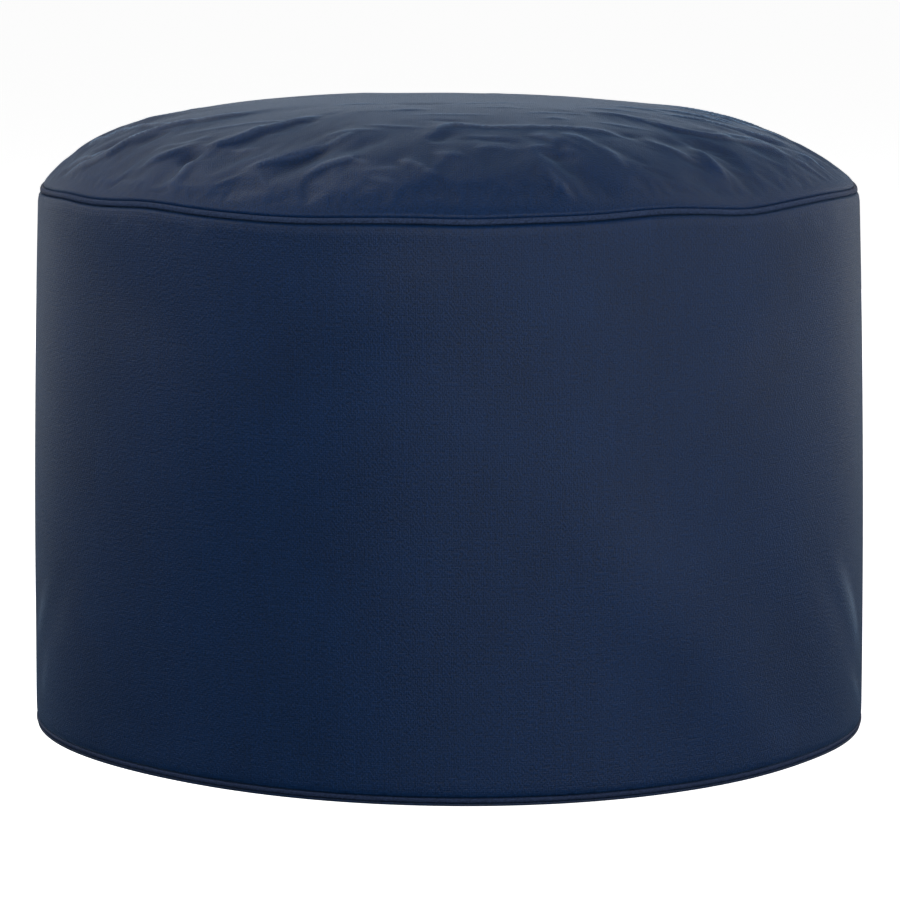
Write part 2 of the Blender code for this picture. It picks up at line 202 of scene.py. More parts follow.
# Shallow dents (minus) and swells of the wall: angle and height of the middle, spread round the
# pouf in degrees, reach up and down, slant and size, with the lengths in millimetres
Dent = namedtuple("Dent", "angle height spread reach slant size")
WALL_DENTS = [Dent(*row) for row in (
    (335, 86, 3.5, 32, -0.8, -0.6),
    (201, 80, 4, 30, 0.8, -0.6),
    (297, 110, 9, 60, -0.6, 2.0),
    (319, 75, 7, 60, -0.2, -1.2),
    (246, 120, 14, 80, 0.3, -1.8),
    (318, 265, 9, 35, 0.6, -1.6),
    (222, 272, 9, 30, -0.8, -1.4),
    (262, 280, 8, 28, 0.5, 1.2),
    (28, 110, 6, 50, 1.0, -2.2),
    (66, 230, 12, 60, -0.5, -1.8),
    (104, 120, 12, 70, 0.4, 1.8),
    (143, 250, 9, 50, 0.7, -2.0),
    (166, 130, 7, 50, -0.9, -1.8),
)]

# Small creases of the wall: a pair at each side with a painted highlight line along it, and puckers under
# the seam with a faint one
WALL_CREASES = [Dent(*row) for row in (
    (340.8, 83, 1.9, 22, -0.81, 0.90),
    (344.5, 31, 1.6, 11, -1.16, 0.35),
    (194.4, 76, 1.6, 16, 0.83, 0.45),
    (196, 40, 1.6, 12, 0.5, 0.20),
    (209, 314, 2.0, 5, 0.6, 0.12),
    (220.5, 315, 1.4, 4, 0.5, 0.16),
    (224.5, 313, 1.2, 4, -0.4, 0.14),
    (235, 315, 1.2, 4, 0.5, 0.12),
    (322, 315, 1.4, 4, -0.5, 0.12),
    (329, 313, 1.6, 5, -0.7, 0.16),
    (336, 315, 1.4, 4, 0.4, 0.14),
    (42, 314, 1.5, 5, 0.5, 0.14),
    (118, 314, 1.5, 5, -0.5, 0.14),
)]

# The side cover's flat map closes on itself at the back
BAND_JOIN_ANGLE = 90.0

# Folds of the top: three points of each, from its outer end, as an angle and a percentage of the
# seam's radius, then half its width and its height in millimetres, and which flank is steeper
Fold = namedtuple("Fold", "angle_1 out_1 angle_2 out_2 angle_3 out_3 width height lean")
FOLDS = [Fold(*row) for row in (
    # Left front, where the slack gathers into long crests
    (217, 93, 221, 86, 225, 77, 13, 4.6, 0.4),
    (225, 82, 231, 70, 234, 48, 12, 5.0, 0.4),
    (197, 98, 204, 88, 204, 72, 10, 4.6, 0.3),
    (204, 76, 206, 63, 212, 46, 11, 4.2, 0.2),
    (194, 97, 197, 92, 204, 87, 8, 3.0, 0.2),
    (186, 95, 190, 84, 200, 68, 10, 4.8, 0.3),
    (198, 93, 199, 84, 197, 75, 9, -3.6, 0),
    (177, 90, 182, 81, 187, 73, 9, -3.2, 0),
    (171, 95, 176, 82, 184, 60, 11, 4.2, 0.2),
    (227, 97, 226, 89, 223, 82, 12, -4.4, 0.2),
    (229, 98, 228, 91, 227, 83, 8, 2.6, 0),
    # Front
    (233, 88, 243, 82, 252, 71, 12, 3.8, 0.4),
    (244, 90, 247, 82, 251, 73, 9, -3.6, 0),
    (247, 91, 255, 83, 264, 83, 9, 3.2, 0.3),
    (262, 82, 266, 86, 270, 90, 8, 2.6, -0.2),
    (245, 71, 251, 66, 259, 65, 8, 3.0, 0.3),
    (266, 72, 269, 63, 281, 60, 9, 4.2, 0.4),
    (265, 73, 271, 71, 277, 71, 9, -3.2, 0),
    (267, 80, 273, 80, 278, 75, 8, 2.6, 0.2),
    (277, 60, 294, 64, 307, 76, 9, 3.6, 0.3),
    (277, 70, 281, 73, 285, 76, 8, -2.4, 0),
    # Right front, with the two pleats that run down to the seam
    (285, 67, 290, 72, 294, 83, 8, 3.4, 0.2),
    (284, 76, 286, 87, 289, 97, 9, 4.8, -0.4),
    (287, 77, 289, 86, 292, 96, 10, -4.6, 0),
    (290, 69, 295, 76, 299, 92, 9, 3.8, -0.2),
    (307, 73, 310, 79, 314, 88, 8, 2.8, -0.2),
    (318, 73, 316, 84, 315, 96, 10, 5.6, -0.4),
    (320, 73, 321, 79, 318, 92, 11, -5.0, 0),
    (302, 34, 317, 50, 327, 70, 13, 4.4, 0.3),
    (325, 67, 332, 76, 342, 85, 11, 4.2, 0.3),
    (332, 81, 336, 88, 338, 96, 8, 2.8, 0.2),
    (349, 84, 345, 91, 351, 98, 8, 3.2, 0.2),
    (334, 66, 341, 75, 351, 84, 8, 3.0, 0.2),
    (337, 71, 345, 79, 353, 87, 8, -2.8, 0),
    # Across the middle
    (234, 50, 248, 40, 264, 30, 12, 3.4, 0.2),
    (260, 32, 284, 23, 306, 38, 12, 3.2, 0.2),
    (224, 32, 250, 14, 318, 22, 13, -2.4, 0),
    (160, 50, 140, 28, 80, 22, 13, 2.8, 0.2),
    # Back, where near-parallel pleats run out to the seam
    (3, 98, 1, 86, 354, 66, 8, 2.6, 0.2),
    (13, 98, 12, 87, 9, 72, 8, 2.2, -0.2),
    (24, 98, 22, 85, 25, 68, 8, 2.6, 0.2),
    (36, 97, 39, 86, 37, 73, 8, 2.4, 0.2),
    (50, 98, 47, 87, 51, 69, 9, 3.0, -0.3),
    (64, 97, 66, 86, 61, 74, 8, 2.8, 0.2),
    (79, 98, 75, 88, 80, 73, 9, 3.4, 0.3),
    (93, 96, 96, 85, 90, 68, 10, 2.8, -0.2),
    (107, 98, 105, 88, 110, 75, 8, 3.6, 0.2),
    (121, 97, 124, 85, 119, 66, 10, 3.2, 0.3),
    (136, 98, 134, 88, 139, 74, 8, 3.0, -0.2),
    (150, 97, 153, 85, 148, 68, 9, 3.6, 0.2),
    (162, 98, 160, 89, 165, 76, 8, 2.8, 0.2),
    (30, 44, 58, 38, 84, 42, 11, 1.6, 0.3),
    (112, 44, 132, 40, 150, 48, 11, 1.6, 0.3),
)]

# Creases that sharpen the folds, and the hollows beside them, too fine for the solids
CREASES = [Fold(*row) for row in (
    # Left
    (196, 98, 203, 93, 205, 87, 6, 2.4, 0.5),
    (205, 87, 203.5, 78, 206, 69, 6, 2.6, 0.5),
    (206, 69, 208.5, 61, 211.5, 51, 6, 1.8, 0.4),
    (194.5, 96, 198.5, 92, 204.5, 88, 5, 1.8, 0.4),
    (179.5, 91, 185, 86, 189.5, 79, 6, 2.4, 0.5),
    (189.5, 79, 195, 74, 199.5, 68, 5, 1.8, 0.4),
    (185, 99.5, 185.5, 98, 187, 96.5, 3.5, 0.8, 0),
    (191.5, 99.5, 191.5, 98, 192.5, 96, 3.5, 1.2, 0),
    (210, 79, 217, 72, 224, 64, 4.5, 0.7, 0.3),
    (224, 64, 228, 62, 232.5, 59, 4.5, 0.7, 0.3),
    (212.5, 85, 219, 81, 225.5, 73, 4.5, 0.8, 0.3),
    (217, 93, 220.5, 88, 223, 80, 7, 2.2, 0.55),
    (223, 82, 228.5, 79, 230, 69, 7, 2.4, 0.55),
    (230, 69, 233, 61, 235.5, 49, 6, 1.7, 0.4),
    (227.5, 98, 227.5, 92, 225.5, 84, 7, 2.2, -0.5),
    (236.5, 90, 241, 86, 247, 77, 7, 2.0, 0.5),
    (247, 77, 249.5, 71, 251.5, 64, 5, 1.2, 0.4),
    (245, 71, 250, 66, 257, 64, 5, 1.1, 0.5),
    (229.5, 82, 233.5, 80, 237.5, 78, 4, 0.6, 0.3),
    (248, 91, 251, 86, 254.5, 83, 6, 1.9, 0.5),
    (254.5, 83, 256.5, 84, 258.5, 85, 5, 0.8, 0.3),
    # Middle
    (248.5, 60, 258, 60, 268, 61, 5, 0.7, 0.4),
    (245, 43, 256, 38, 268, 33, 7, 0.7, 0.5),
    (274, 29, 293, 32, 311, 38, 7, 0.5, 0.5),
    (315, 44, 319, 53, 321, 64, 7, 0.9, 0.5),
    (267, 65, 269.5, 60, 272.5, 59, 5, 2.0, 0.5),
    (272.5, 59, 285.5, 61, 297, 65, 5, 1.3, 0.5),
    (297, 65, 302, 69, 305.5, 76, 5, 1.1, 0.4),
    (272, 68, 277, 68, 282, 69, 4, 0.6, 0.3),
    (266.5, 78, 270, 80, 273.5, 80, 7, 0.9, 0.3),
    (273.5, 78, 276, 76, 279.5, 76, 7, 0.8, 0.4),
    (279.5, 76, 281, 77, 283.5, 77, 7, 0.6, 0.2),
    (256, 88, 260.5, 87, 264, 87, 6, 0.8, 0.4),
    (261.5, 83, 264, 84, 266, 86, 6.5, 0.9, 0.3),
    (266, 86, 267.5, 88, 269, 89, 6, 0.5, 0.2),
    (258, 90, 260.5, 91, 263.5, 92, 5, 0.7, 0.2),
    (285, 67, 288, 70, 290, 75, 6, 1.0, 0.4),
    (291, 68, 294, 72, 296, 78, 5, 1.2, 0.4),
    (289, 77, 290.5, 79, 292.5, 81, 7, 0.9, 0.3),
    (294, 51, 298, 53, 301.5, 56, 5, 0.8, 0.4),
    (287.5, 98, 285.5, 92, 284.5, 83, 8, 2.0, 0.5),
    (283.5, 77, 286.5, 76, 289, 76, 7, 1.0, 0.5),
    # Right
    (321, 64, 324, 71, 328.5, 77, 8, 2.2, 0.5),
    (328.5, 77, 333.5, 82, 338, 90, 6, 1.6, 0.4),
    (304.5, 56, 310, 63, 316.5, 69, 5, 0.8, 0.4),
    (325, 73, 333, 78, 339.5, 86, 6, 1.2, 0.4),
    (312.5, 88, 310.5, 81, 308, 73, 5, 1.2, 0.3),
    (314, 96, 314.5, 87, 317.5, 75, 8, 3.0, 0.55),
    (297, 90, 297, 84, 296.5, 77, 5, 0.9, 0.3),
    (344, 97, 343.5, 91, 344, 86, 6, 1.8, 0.5),
    (339, 96, 336.5, 90, 333.5, 84, 5, 1.0, 0.3),
    (338, 50, 339.5, 64, 344, 76, 5, 1.4, 0.5),
    (344, 76, 345.5, 80, 347.5, 85, 5, 1.4, 0.5),
    (357, 52, 354, 64, 355, 74, 5, 1.3, 0.4),
    (344.5, 38, 344, 48, 341.5, 59, 5, 1.0, 0.4),
    (352, 45, 350, 60, 350, 78, 5, 1.5, 0.4),
    (4, 55, 1, 70, 358, 86, 5, 1.6, 0.4),
    (12, 50, 8, 68, 5, 86, 5, 1.6, 0.4),
    (21, 50, 16, 66, 12, 84, 5, 1.5, 0.4),
    (174, 52, 178, 68, 180, 84, 5, 0.9, 0.4),
    (262, 20, 300, 17, 340, 30, 4.5, 0.6, 0.3),
    (255, 47, 270, 44, 287, 46, 4.5, 0.6, 0.3),
    (290, 42, 303, 45, 315, 52, 4.5, 0.7, 0.3),
    (322, 36, 330, 45, 334, 58, 4.5, 0.7, 0.3),
    (214, 40, 222, 30, 240, 22, 4.5, 0.6, 0.3),
    # Hollows beside the crests
    (198, 93, 199, 87, 198.5, 80, 8, -2.6, 0),
    (198, 95, 201, 92, 204.5, 90, 5, -1.8, 0),
    (207.5, 86, 206.5, 79, 208, 72, 6, -1.8, 0),
    (225, 91, 225.5, 87, 225.5, 83, 7, -2.6, 0),
    (227.5, 85, 232.5, 84, 236.5, 79, 9, -1.4, 0),
    (242, 89, 246, 83, 249.5, 74, 8, -1.8, 0),
    (252, 81, 254.5, 75, 258.5, 67, 9, -1.6, 0),
    (266.5, 74, 269.5, 68, 272.5, 63, 6, -1.4, 0),
    (272.5, 70, 279, 71, 284.5, 76, 6, -1.0, 0),
    (285, 77, 288, 81, 292.5, 85, 9, -2.2, 0),
    (310, 71, 316, 77, 322.5, 86, 11, -2.4, 0),
    (337, 75, 342, 80, 346, 85, 6, -1.3, 0),
    (345, 87, 344.5, 91, 345, 94, 5, -1.2, 0),
    (231.5, 31, 253.5, 19, 302.5, 23, 9, -1.0, 0),
    (255.5, 92, 259.5, 92, 263, 92, 7, -1.0, 0),
    (299, 70, 305, 71, 311.5, 71, 6, -1.0, 0),
    (261.5, 54, 270, 53, 277, 56, 5, -0.7, 0),
)]

# Softboxes round the pouf: turn is from the camera's side towards the right, rise from level
Softbox = namedtuple("Softbox", "name turn rise power")
SOFTBOXES = [Softbox(*row) for row in (
    ("front", 0, 8, 10.5),
    ("front_right", 45, 8, 20.0),
    ("right", 90, 8, 13.0),
    ("back_right", 135, 8, 7.0),
    ("back", 180, 8, 6.0),
    ("back_left", 225, 8, 6.0),
    ("left", 270, 8, 4.0),
    ("raised_front", 0, 26, 15.5),
    ("raised_left", 270, 26, 17.0),
    ("raised_front_left", 315, 26, 8.0),
    ("high_right", 112, 52, 11.0),
    ("high_back_left", 220, 52, 12.0),
)]
SOFTBOX_DISTANCE = 2.4
SOFTBOX_SIZE = 1.5
LIT_HEIGHT = 0.25
FLOOR_RADIUS = 60.0
FLOOR_GLOW = 0.96
CAMERA_SIDE = 0.9 * MM


def linear(colour):
    """Three linear shares from an sRGB hex value."""
    parts = [int(colour[place:place + 2], 16) / 255.0 for place in (1, 3, 5)]
    return tuple(part / 12.92 if part <= 0.04045 else ((part + 0.055) / 1.055) ** 2.4 for part in parts)


def smooth_step(value):
    share = np.clip(value, 0.0, 1.0)
    return share * share * (3.0 - 2.0 * share)


def polar(points):
    """Distance from the axis, and angle in degrees, of each point."""
    return np.hypot(points[:, 0], points[:, 1]), np.degrees(np.arctan2(points[:, 1], points[:, 0]))


def moved(points, scale, height):
    """The points with their plan scaled, at new heights."""
    return np.stack([points[:, 0] * scale, points[:, 1] * scale, height], axis=1)


def circled(radius, turn, height):
    """Points from their distance from the axis, their angle in radians and their height."""
    return np.stack([radius * np.cos(turn), radius * np.sin(turn), height], axis=1)


def travelled(line):
    """Length along a line in a plane from its start to each of its points."""
    return np.concatenate([[0.0], np.cumsum(np.hypot(*np.diff(line, axis=0).T))])


def turn_between(angle, centre):
    """Degrees from centre to angle, the short way round."""
    return (angle - centre + 180.0) % 360.0 - 180.0


def sum_of_bumps(bumps, angle):
    total = np.zeros_like(angle)
    for bump in bumps:
        total += bump.size * MM * np.exp(-(turn_between(angle, bump.angle) / bump.spread) ** 2)
    return total


def crown_height(share, angle):
    """Height of the unfolded top over the seam, a little fuller on the left."""
    towards = np.cos(np.radians(angle - FULLEST_ANGLE))
    inside = np.clip(1.0 - share ** CROWN_POWER, 0.0, 1.0)
    lean = CROWN_LEAN * towards * share * inside
    return CROWN_HEIGHT * inside ** (CROWN_FULLNESS - FULLNESS_SWING * towards) + lean


def fold_path(fold):
    """Points along a smooth curve through the fold's three points, in plan."""
    angles = np.radians([fold.angle_1, fold.angle_2, fold.angle_3])
    radii = SEAM_RADIUS * np.array([fold.out_1, fold.out_2, fold.out_3]) / 100.0
    start, middle, end = np.stack([radii * np.cos(angles), radii * np.sin(angles)], axis=1)
    pull = 2.0 * middle - 0.5 * (start + end)
    step = np.linspace(0.0, 1.0, FOLD_PATH_STEPS + 1)[:, None]
    return (1 - step) ** 2 * start + 2 * step * (1 - step) * pull + step ** 2 * end


def along_fold(plan, fold):
    """The points of the plan near a fold: which ones, how far off, on which side and how far along."""
    path = fold_path(fold)
    margin = FOLD_REACH * fold.width * MM
    low = path.min(axis=0) - margin
    high = path.max(axis=0) + margin
    near = np.flatnonzero(np.all((plan > low) & (plan < high), axis=1))
    spot = plan[near]
    nearest = np.full(len(spot), np.inf)
    offset = np.zeros(len(spot))
    travel = np.zeros(len(spot))
    for step in range(FOLD_PATH_STEPS):
        start = path[step]
        run = path[step + 1] - start
        length = math.hypot(run[0], run[1])
        along = np.clip((spot - start) @ run / length ** 2, 0.0, 1.0)
        away = spot - start - along[:, None] * run
        distance = np.hypot(away[:, 0], away[:, 1])
        side = np.sign(run[0] * away[:, 1] - run[1] * away[:, 0])
        closer = distance < nearest
        nearest = np.where(closer, distance, nearest)
        offset = np.where(closer, side, offset)
        travel = np.where(closer, (step + along) / FOLD_PATH_STEPS, travel)
    return near, nearest, offset, travel


def crest_profile(distance, width, crispness):
    """Height of a fold across it, from a soft swell to a crisp crest."""
    soft = np.exp(-(distance / width) ** 2)
    tip = CREST_TIP * width
    crisp = np.exp(-(np.hypot(distance, tip) - tip) / (CREST_FALL * width))
    crisp *= smooth_step(CREST_END - distance / width)
    return (1.0 - crispness) * soft + crispness * crisp


def fold_relief(plan, shape):
    """Height that the broad folds add at each point of the plan."""
    relief = np.zeros(len(plan))
    for fold in FOLDS:
        near, distance, offset, travel = along_fold(plan, fold)
        width = shape.fold_width * fold.width * MM * (1.0 + fold.lean * offset)
        ends = smooth_step(travel / FOLD_END_SHARE) * smooth_step((1.0 - travel) / FOLD_END_SHARE)
        height = shape.fold_gain * fold.height * MM * (FOLD_END_HEIGHT + (1.0 - FOLD_END_HEIGHT) * ends)
        relief[near] += height * crest_profile(distance, width, shape.crispness if fold.height > 0 else 0.0)
    return relief


def crease_relief(plan, shape):
    """Height that the creases add at each point of the plan, and the strength there of the painted
    highlight line along their crests.

    A crease that goes on in another one keeps its height there, and elsewhere its ends run out.
    """
    tips = [(crease.angle_1, crease.out_1) for crease in CREASES]
    tips += [(crease.angle_3, crease.out_3) for crease in CREASES]
    crest = np.zeros(len(plan))
    hollow = np.zeros(len(plan))
    line = np.zeros(len(plan))
    for crease in CREASES:
        near, distance, offset, travel = along_fold(plan, crease)
        ends = np.ones(len(near))
        if tips.count((crease.angle_1, crease.out_1)) < 2:
            ends *= smooth_step(travel / CREASE_END_SHARE)
        if tips.count((crease.angle_3, crease.out_3)) < 2:
            ends *= smooth_step((1.0 - travel) / CREASE_END_SHARE)
        width = shape.crease_width * crease.width * MM * (1.0 + crease.lean * offset)
        height = shape.crease_gain * crease.height * MM * ends
        if crease.height > 0:
            crest[near] = np.maximum(crest[near], height * crest_profile(distance, width, shape.crispness))
            # Painted highlight line along the crest: full on high, narrow creases, faint on wide ones
            sharp = np.clip((SOFT_WIDTH - crease.width * MM) / SOFT_RUN, SOFT_SHARE, 1.0)
            glint_mark = sharp * min(crease.height * MM / FULL_CREST, 1.0) * ends
            line[near] = np.maximum(line[near], glint_mark * np.exp(-(distance / CREST_WIDTH) ** 2))
        else:
            hollow[near] = np.minimum(hollow[near], height * crest_profile(distance, width, 0.0))
    return crest + hollow, line


def wall_relief(dents, angle, height):
    relief = np.zeros_like(angle)
    for dent in dents:
        rise = height - dent.height * MM
        turn = turn_between(angle, dent.angle + np.degrees(dent.slant * rise / WALL_MIDDLE_RADIUS))
        relief += dent.size * MM * np.exp(-(turn / dent.spread) ** 2 - (rise / (dent.reach * MM)) ** 2)
    return relief


def slump(points):
    """Take points of the true round form to the form that stands on the floor."""
    radius, angle = polar(points)
    lift = np.clip(points[:, 2] / SEAM_HEIGHT, 0.0, 1.0)
    spread = 1.0 - (1.0 - SEAM_PLAN_SHARE) * lift
    out = sum_of_bumps(PLAN_BUMPS, angle) * spread * radius / BASE_RADIUS
    rise = sum_of_bumps(SEAM_BUMPS, angle) * lift ** SEAM_RISE_POWER * (radius / SEAM_RADIUS) ** 2
    scale = np.ones_like(radius)
    np.divide(radius + out, radius, out=scale, where=radius > MERGE_DISTANCE)
    return moved(points, scale, points[:, 2] + rise)


def fold_top(points, shape):
    """Raise the top's upper face to its uneven crown and its broad folds."""
    radius, angle = polar(points)
    share = radius / SEAM_RADIUS
    upper = points[:, 2] > SEAM_HEIGHT + TOP_CORD_RADIUS
    fade = smooth_step((1.0 - share) / SEAM_FADE)
    relief = fold_relief(points[:, :2], shape) * fade
    inside = np.maximum(1.0 - share ** CROWN_POWER, SEAM_FADE)
    slope = CROWN_FULLNESS * CROWN_POWER * share ** (CROWN_POWER - 1.0) * inside ** (CROWN_FULLNESS - 1.0)
    tilt = np.arctan(slope * CROWN_HEIGHT / SEAM_RADIUS)
    crown = SEAM_HEIGHT + crown_height(share, angle)
    height = points[:, 2] + fade * (crown - points[:, 2]) + relief * np.cos(tilt)
    reach = 1.0 + relief * np.sin(tilt) / np.maximum(radius, SEAM_FADE)
    return np.where(upper[:, None], moved(points, reach, height), points)


def swell_rim(points):
    """Let the fill push the top out over its piping, so that its edge turns under."""
    rise = points[:, 2] - SEAM_HEIGHT
    foot = smooth_step((rise - TOP_CORD_RADIUS) / RIM_FOOT)
    out = RIM_SWELL * foot * (1.0 - smooth_step((rise - 2 * RIM_FOOT) / RIM_RUN))
    return moved(points, 1.0 + out / np.maximum(polar(points)[0], SEAM_RADIUS / 2), points[:, 2])


def dent_wall(points):
    """Press the dents into the wall's outer face, fading out at both seams, and raise its creases."""
    radius, angle = polar(points)
    height = points[:, 2]
    fade = smooth_step(height / DENT_MARGIN) * smooth_step((SEAM_HEIGHT - height) / DENT_MARGIN)
    relief = wall_relief(WALL_DENTS, angle, height) * fade + wall_relief(WALL_CREASES, angle, height)
    out = np.where(radius > SEAM_RADIUS, relief, 0.0)
    return moved(points, 1.0 + out / np.maximum(radius, SEAM_RADIUS), height)


def arc(centre, radius, start, end, steps):
    """Points along an arc in the profile plane, angles in degrees from straight out."""
    turns = np.radians(np.linspace(start, end, steps + 1))
    return [(centre[0] + radius * math.cos(turn), centre[1] + radius * math.sin(turn)) for turn in turns]


def even_points(profile, rows):
    """Points at even steps along a profile, ends kept."""
    line = np.array(profile)
    travel = travelled(line)
    steps = np.linspace(0.0, travel[-1], rows + 1)
    return list(zip(np.interp(steps, travel, line[:, 0]), np.interp(steps, travel, line[:, 1])))


def cloth_mesh(name, points, faces, uvs, wrap=None):
    """A smooth mesh object from points, faces and one map point for each vertex, in metres.

    Where the map closes on itself after a length of wrap, faces across the joint go on past it.
    """
    mesh = bpy.data.meshes.new(name)
    mesh.from_pydata(points.tolist(), [], faces)
    layer = mesh.uv_layers.new(name="cloth")
    corner = np.empty(len(mesh.loops), dtype=np.int32)
    mesh.loops.foreach_get("vertex_index", corner)
    spots = uvs[corner]
    if wrap is not None:
        starts = np.empty(len(mesh.polygons), dtype=np.int32)
        mesh.polygons.foreach_get("loop_start", starts)
        sizes = np.diff(np.append(starts, len(spots)))
        farthest = np.repeat(np.maximum.reduceat(spots[:, 0], starts), sizes)
        spots[:, 0] += np.where(farthest - spots[:, 0] > 0.5 * wrap, wrap, 0.0)
    layer.data.foreach_set("uv", spots.astype(np.float32).ravel())
    mesh.shade_smooth()
    mesh.update()
    piece = bpy.data.objects.new(name, mesh)
    bpy.context.scene.collection.objects.link(piece)
    return piece


def disc_rings(rings):
    """An even triangle net over a disc: each point's ring and place on it, and the faces."""
    ring = [0]
    place = [0.0]
    faces = []
    first = [0]
    for number in range(1, rings + 1):
        first.append(len(ring))
        count = 6 * number
        ring += [number] * count
        place += [step / count for step in range(count)]
        inner = 6 * (number - 1)
        for side in range(6):
            for step in range(number):
                outer_a = first[number] + side * number + step
                outer_b = first[number] + (side * number + step + 1) % count
                inner_a = first[number - 1] + (side * (number - 1) + step) % max(inner, 1)
                faces.append((inner_a, outer_a, outer_b))
                if step < number - 1:
                    inner_b = first[number - 1] + (side * (number - 1) + step + 1) % max(inner, 1)
                    faces.append((inner_a, outer_b, inner_b))
    return np.array(ring), np.array(place), faces


def add_rows(points, faces, rim, rows, turns, centre_height=None):
    """Carry a rim of points down a profile of rows, and close it with a fan at the axis if asked to."""
    count = len(rim)
    last = list(rim)
    added = []
    start = len(points)
    for radius, height in rows:
        row = [start + len(added) + step for step in range(count)]
        added += [(radius * math.cos(turn), radius * math.sin(turn), height) for turn in turns]
        for step in range(count):
            after = (step + 1) % count
            faces.append((last[step], row[step], row[after], last[after]))
        last = row
    if centre_height is None:
        return np.vstack([points, np.array(added)])
    centre = start + len(added)
    added.append((0.0, 0.0, centre_height))
    for step in range(count):
        faces.append((last[step], centre, last[(step + 1) % count]))
    return np.vstack([points, np.array(added)])


def points_of(mesh, layer="vertices", name="co"):
    """Places or normals of a mesh's vertices, a row for each."""
    values = np.empty(len(mesh.vertices) * 3)
    getattr(mesh, layer).foreach_get(name, values)
    return values.reshape(-1, 3)


def apply_modifier(piece, modifier):
    bpy.ops.object.select_all(action="DESELECT")
    piece.select_set(True)
    bpy.context.view_layer.objects.active = piece
    bpy.ops.object.modifier_apply(modifier=modifier.name)


def settle_cloth(piece, shape):
    """Crumple the slack top over its fill: a short cloth simulation, pinned along the seam."""
    scene = bpy.context.scene
    before = points_of(piece.data)
    share = polar(before)[0] / SEAM_RADIUS
    upper = before[:, 2] > SEAM_HEIGHT + TOP_CORD_RADIUS
    pinned = np.where(upper, np.clip((share - PIN_START) / PIN_RUN, 0.0, 1.0), 1.0)
    seam = piece.vertex_groups.new(name="seam")
    for vertex in np.flatnonzero(pinned):
        seam.add([int(vertex)], float(pinned[vertex]), "REPLACE")
    cloth = piece.modifiers.new("settling", "CLOTH")
    cloth.point_cache.frame_start = 1
    cloth.point_cache.frame_end = SETTLE_FRAMES
    cloth.collision_settings.use_collision = False
    weave = cloth.settings
    weave.quality = CLOTH_QUALITY
    weave.mass = CLOTH_MASS
    weave.bending_stiffness = CLOTH_BENDING
    for strain, stiffness in (("tension", 1.0), ("compression", 1.0), ("shear", CLOTH_SHEAR)):
        setattr(weave, f"{strain}_stiffness", stiffness * CLOTH_STIFFNESS)
        setattr(weave, f"{strain}_damping", CLOTH_DAMPING)
    weave.air_damping = CLOTH_DAMPING
    weave.vertex_group_mass = seam.name
    weave.use_pressure = True
    weave.uniform_pressure_force = shape.fill_pressure
    weave.shrink_min = -shape.slack
    weave.effector_weights.gravity = 0.0
    for number in range(1, SETTLE_FRAMES + 1):
        scene.frame_set(number)
    apply_modifier(piece, cloth)
    scene.frame_set(1)
    piece.vertex_groups.clear()

    # The crown's own outline stays: the mean lift of each ring is taken out, and the rest capped
    move = points_of(piece.data) - before
    edges = np.linspace(0.0, 1.0, SETTLE_RINGS + 1)
    middles = 0.5 * (edges[1:] + edges[:-1])
    ring = np.clip(np.digitize(share, edges) - 1, 0, SETTLE_RINGS - 1)
    lift = np.bincount(ring[upper], move[upper, 2], SETTLE_RINGS)
    lift /= np.maximum(np.bincount(ring[upper], minlength=SETTLE_RINGS), 1)
    move[:, 2] -= np.where(upper, np.interp(share, middles, lift) * (1.0 - pinned), 0.0)
    length = np.linalg.norm(move, axis=1)
    move *= (SETTLE_CAP / np.maximum(length, SETTLE_CAP))[:, None]
    piece.data.vertices.foreach_set("co", (before + move).ravel())
    piece.data.update()


def subdivide_once(piece):
    finer = piece.modifiers.new("finer", "SUBSURF")
    finer.levels = 1
    finer.render_levels = 1
    apply_modifier(piece, finer)


def close_underside(piece, centre_height):
    """Close the open rim under a piece with a fan of faces round a point on the axis."""
    sheet = bmesh.new()
    sheet.from_mesh(piece.data)
    centre = sheet.verts.new((0.0, 0.0, centre_height))
    rim = [edge for edge in sheet.edges if edge.is_boundary]
    for edge in rim:
        loop = edge.link_loops[0]
        sheet.faces.new((loop.link_loop_next.vert, loop.vert, centre)).smooth = True
    sheet.to_mesh(piece.data)
    sheet.free()


def raise_creases(piece, shape):
    """Raise the fine creases out of the settled cloth, at their places on the unfolded plan."""
    mesh = piece.data
    plan = mesh.attributes["plan"]
    place = np.empty(len(mesh.vertices) * 3)
    plan.data.foreach_get("vector", place)
    place = place.reshape(-1, 3)
    mesh.attributes.remove(plan)
    points = points_of(mesh)
    share = polar(place)[0] / SEAM_RADIUS
    upper = points[:, 2] > SEAM_HEIGHT + TOP_CORD_RADIUS
    fade = np.where(upper, smooth_step((1.0 - share) / SEAM_FADE), 0.0)
    relief, line = crease_relief(place[:, :2], shape)
    points += points_of(mesh, "vertex_normals", "vector") * (relief * fade)[:, None]
    mesh.vertices.foreach_set("co", points.ravel())
    mesh.update()
    # Painted highlight line along the crests, faded out at the seam, for the material
    write_values(mesh, "crest", line * fade)


def write_values(mesh, name, values):
    """Write a float attribute with a value for each vertex, for the material to read."""
    mesh.attributes.new(name, "FLOAT", "POINT").data.foreach_set("value", values.astype(np.float32))


